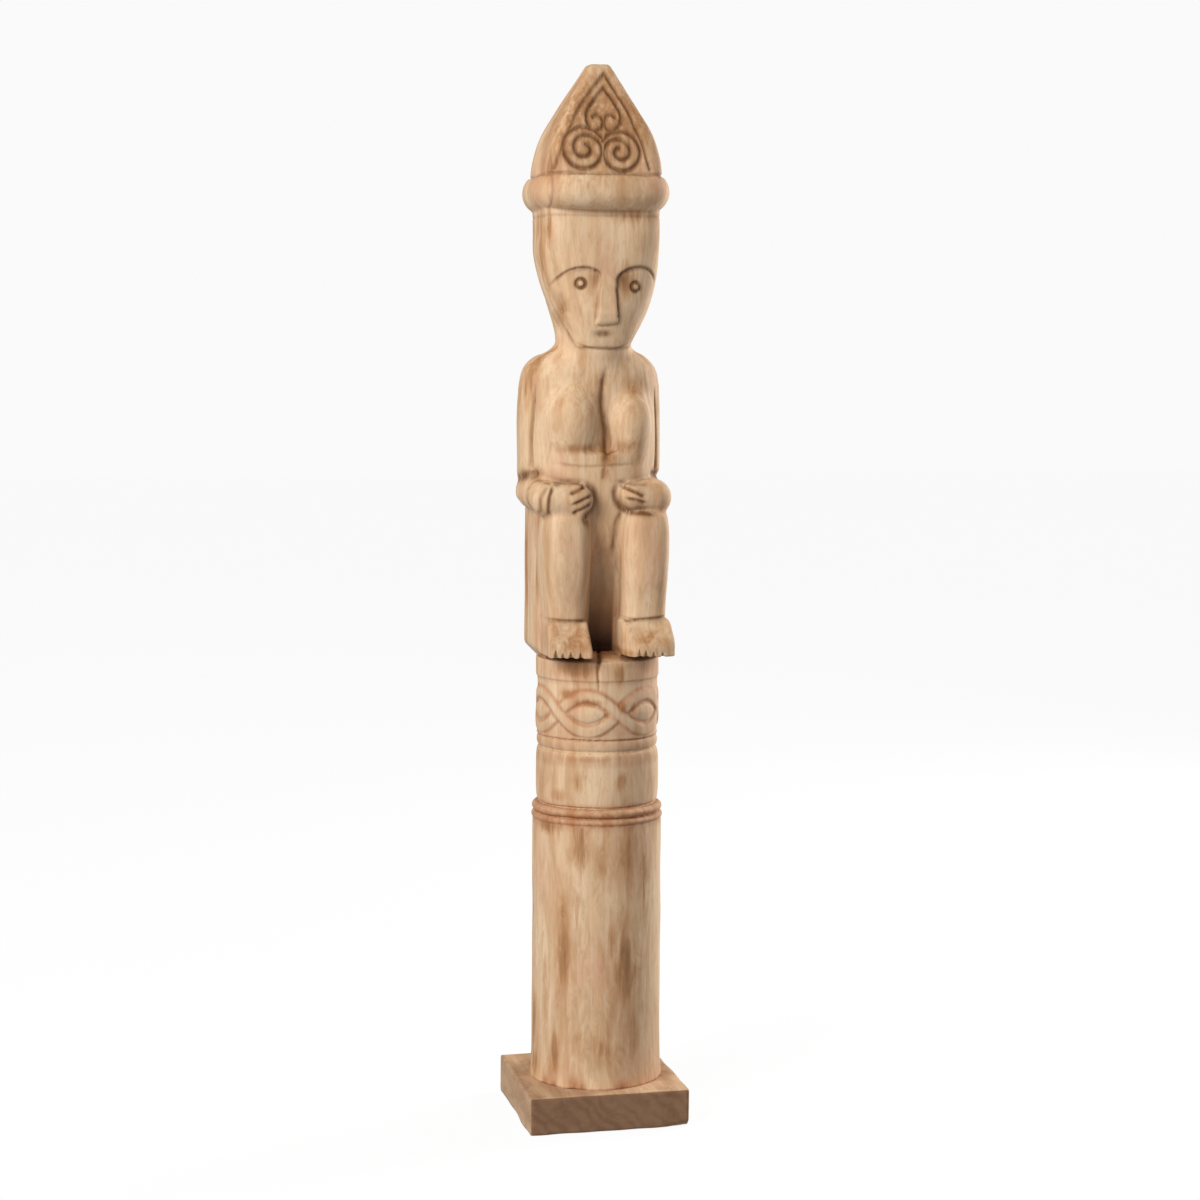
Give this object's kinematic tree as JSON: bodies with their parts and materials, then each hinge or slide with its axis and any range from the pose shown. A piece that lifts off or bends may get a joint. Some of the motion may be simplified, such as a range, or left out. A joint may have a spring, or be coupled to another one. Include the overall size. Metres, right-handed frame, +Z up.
{
  "type": "carved fertility doll",
  "caption": "Free-standing carved wooden fertility doll: a seated woman in a pointed scrolled hat, on a round column fixed to a square plinth.",
  "frame": {"origin": "middle of the plinth's underside", "axes": "+Z up to the tip of the hat, -Y the way the figure looks, +X to the figure's left hand"},
  "size_m": [0.154, 0.154, 1],
  "materials": {
    "carved_wood": "bleached, brown stain left in the carved lines, matt",
    "plinth_wood": "sawn and lightly sanded, matt, darker end grain",
    "dowel_wood": "plain turned beech",
    "screw_steel": "zinc plated"
  },
  "bodies": {
    "root": {"carved_trunk": "carved_wood", "plinth_board": "plinth_wood", "centre_dowel": "dowel_wood", "plinth_screw_1": "screw_steel", "plinth_screw_2": "screw_steel", "plinth_screw_3": "screw_steel", "plinth_screw_4": "screw_steel"}
  },
  "joints": []
}
